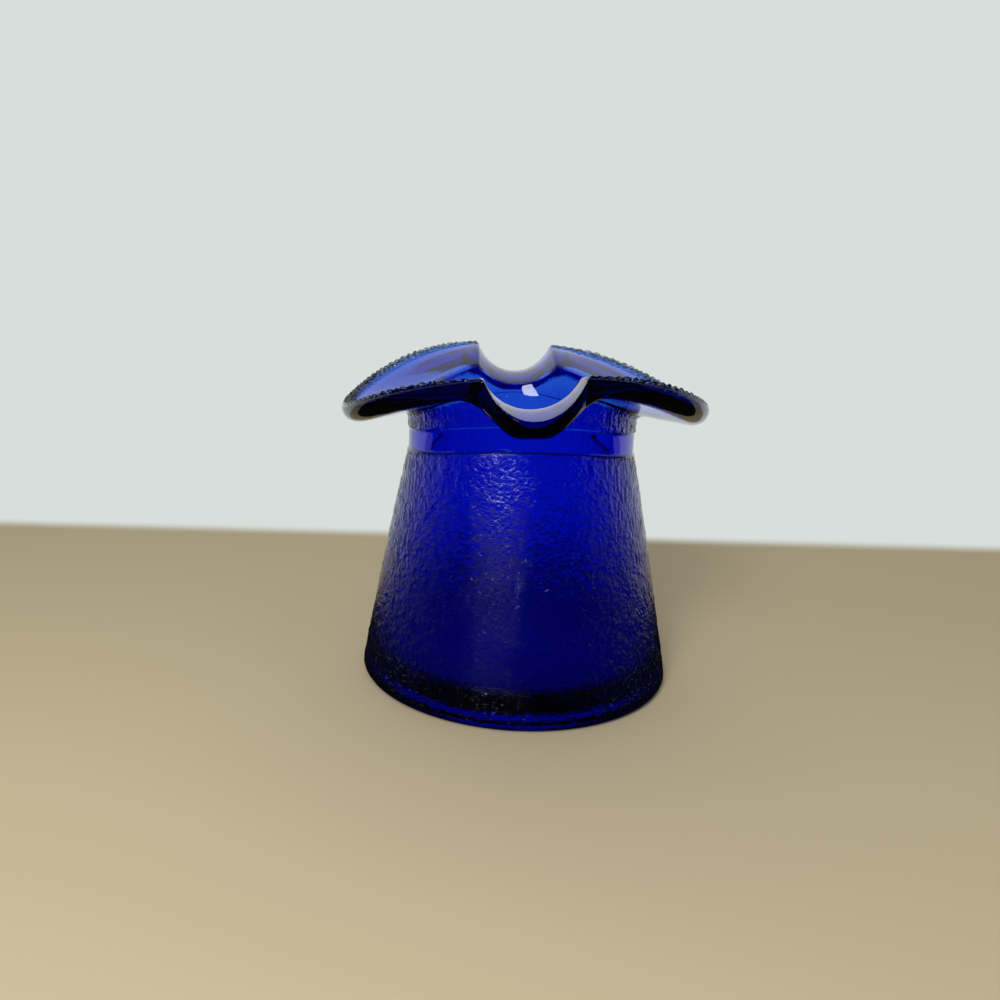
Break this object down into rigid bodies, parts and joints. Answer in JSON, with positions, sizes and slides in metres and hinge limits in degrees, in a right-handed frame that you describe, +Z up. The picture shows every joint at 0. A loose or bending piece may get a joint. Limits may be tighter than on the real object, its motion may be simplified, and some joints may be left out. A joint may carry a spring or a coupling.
{
  "type": "glass hat",
  "caption": "Pressed cobalt glass top hat that stands on its crown, with a hollow tapered crown, smooth band, saddle-bent brim and U-shaped rests in the brim.",
  "frame": {"origin": "in the standing plane, on the axis of the crown, under the middle of the hat", "axes": "+Z up out of the mouth, +Y towards the rear rest, +X towards the right brim tip"},
  "size_m": [0.0716, 0.0754, 0.0655],
  "materials": {
    "cobalt_glass": "fire-polished pressed cobalt glass, with a felt-like relief on the outside of the crown"
  },
  "bodies": {
    "root": {"crown_disc": "cobalt_glass", "crown_wall": "cobalt_glass", "hat_band": "cobalt_glass", "neck_flare": "cobalt_glass", "right_brim": "cobalt_glass", "left_brim": "cobalt_glass", "rear_rest": "cobalt_glass", "front_rest": "cobalt_glass", "right_binding": "cobalt_glass", "left_binding": "cobalt_glass"}
  },
  "joints": []
}
